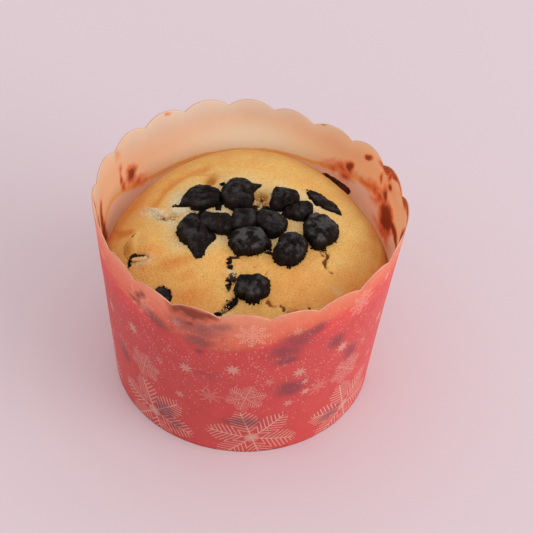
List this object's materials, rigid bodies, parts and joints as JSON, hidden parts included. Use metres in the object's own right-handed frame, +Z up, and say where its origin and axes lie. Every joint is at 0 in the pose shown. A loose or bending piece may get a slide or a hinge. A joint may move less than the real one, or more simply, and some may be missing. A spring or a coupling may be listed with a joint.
{
  "type": "chocolate chip muffin in a scalloped paper baking cup",
  "caption": "Domed golden muffin with half-melted chocolate chips on top, standing in a tapered printed paper baking cup with a scalloped rim; food, no moving parts.",
  "frame": {"origin": "middle of the cup's foot, in the plane that it stands on", "axes": "+Z is up, -Y is the front that the picture's side shows, +X is to the right; +Z is the cup's turning axis and its shortest extent"},
  "size_m": [0.0693, 0.068, 0.0505],
  "materials": {
    "printed_paper": "satin printed board, grease-stained inside",
    "cake_crust": "matte baked crust, fine crumb",
    "chocolate": "dark, satin, wrinkled where it melted"
  },
  "bodies": {
    "root": {"paper_cup": "printed_paper", "cake": "cake_crust", "chip_middle_front": "chocolate", "chip_middle": "chocolate", "chip_middle_right": "chocolate", "chip_back_middle": "chocolate", "chip_left": "chocolate", "chip_middle_left": "chocolate", "chip_back_left": "chocolate", "chip_back_right": "chocolate", "chip_right_inner": "chocolate", "chip_far_right_flat": "chocolate", "chip_right": "chocolate", "chip_front_right": "chocolate", "chip_front": "chocolate", "chip_far_left_front": "chocolate", "chip_far_left_sliver": "chocolate", "chip_right_shoulder": "chocolate"}
  },
  "joints": []
}
